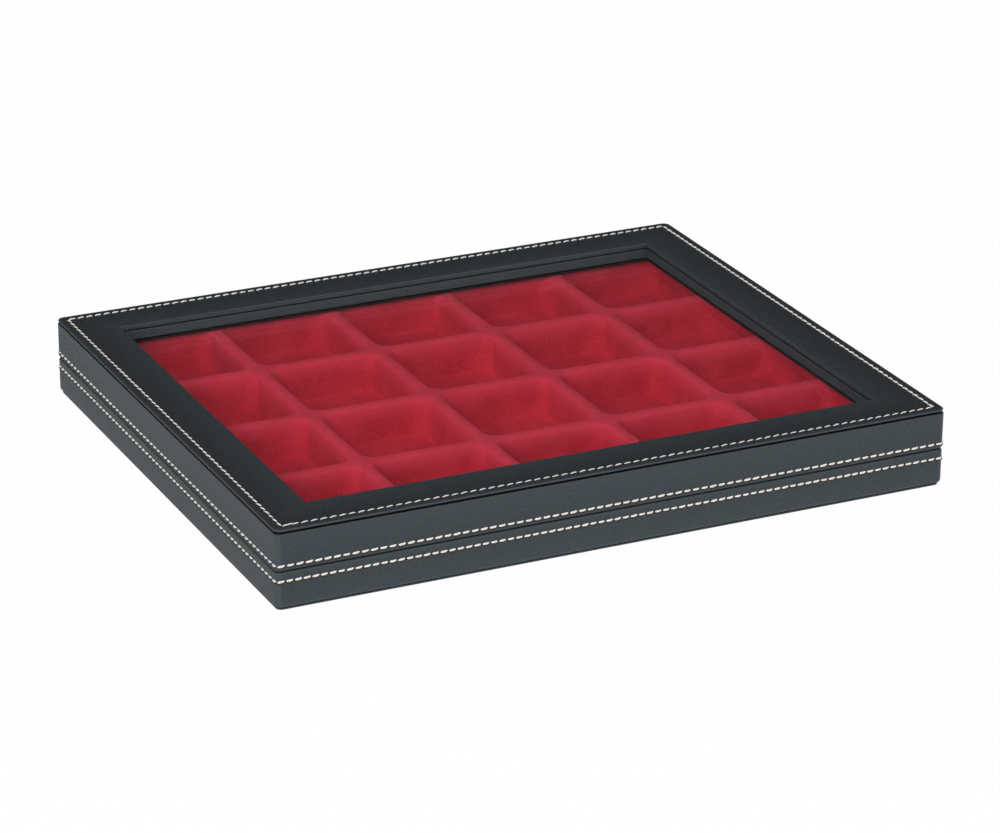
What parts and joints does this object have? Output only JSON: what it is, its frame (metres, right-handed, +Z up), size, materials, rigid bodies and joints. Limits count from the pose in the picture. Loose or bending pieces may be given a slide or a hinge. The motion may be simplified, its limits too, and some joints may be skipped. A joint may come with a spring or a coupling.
{
  "type": "coin display case",
  "caption": "Flat leatherette display case with a hinged window lid and a flocked tray of square cells for coins.",
  "frame": {"origin": "middle of the case's flat underside, with the hinge barrels left out of account", "axes": "+X to the right along the front, +Y to the back where the hinges are, +Z up through the lid"},
  "size_m": [0.328, 0.2757, 0.0375],
  "materials": {
    "black_leatherette": "fine pebble grain, satin",
    "rail_wood": "sanded fibreboard",
    "black_velour": "short pile",
    "red_flock": "flocked plastic sheet",
    "clear_pane": "clear, polished",
    "magnet_steel": "nickel plated",
    "hinge_steel": "nickel plated, satin"
  },
  "bodies": {
    "base": {"base_rail_front": "rail_wood", "base_rail_back": "rail_wood", "base_rail_left": "rail_wood", "base_rail_right": "rail_wood", "base_board": "rail_wood", "base_side_wrap": "black_leatherette", "base_bottom_cover": "black_leatherette", "collar_front": "black_velour", "collar_back": "black_velour", "collar_left": "black_velour", "collar_right": "black_velour", "tray_bed": "black_velour", "coin_tray": "red_flock", "base_magnet_left": "magnet_steel", "base_magnet_right": "magnet_steel", "hinge_left_base_leaf": "hinge_steel", "hinge_right_base_leaf": "hinge_steel", "hinge_left_pin": "hinge_steel", "hinge_right_pin": "hinge_steel", "hinge_base_screws": "hinge_steel"},
    "lid": {"lid_rail_front": "rail_wood", "lid_rail_back": "rail_wood", "lid_rail_left": "rail_wood", "lid_rail_right": "rail_wood", "lid_side_wrap": "black_leatherette", "lid_top_frame": "black_leatherette", "reveal_strip_front": "black_leatherette", "reveal_strip_back": "black_leatherette", "reveal_strip_left": "black_leatherette", "reveal_strip_right": "black_leatherette", "window_pane": "clear_pane", "pane_retainer_front": "black_velour", "pane_retainer_back": "black_velour", "pane_retainer_left": "black_velour", "pane_retainer_right": "black_velour", "lid_magnet_left": "magnet_steel", "lid_magnet_right": "magnet_steel", "hinge_left_lid_leaf": "hinge_steel", "hinge_right_lid_leaf": "hinge_steel", "hinge_lid_screws": "hinge_steel"}
  },
  "joints": [
    {"name": "lid_hinge", "type": "hinge", "parent": "base", "child": "lid", "pos_m": [0, 0.137, 0.018], "axis": [-1, 0, 0], "range_deg": [0, 100]}
  ]
}
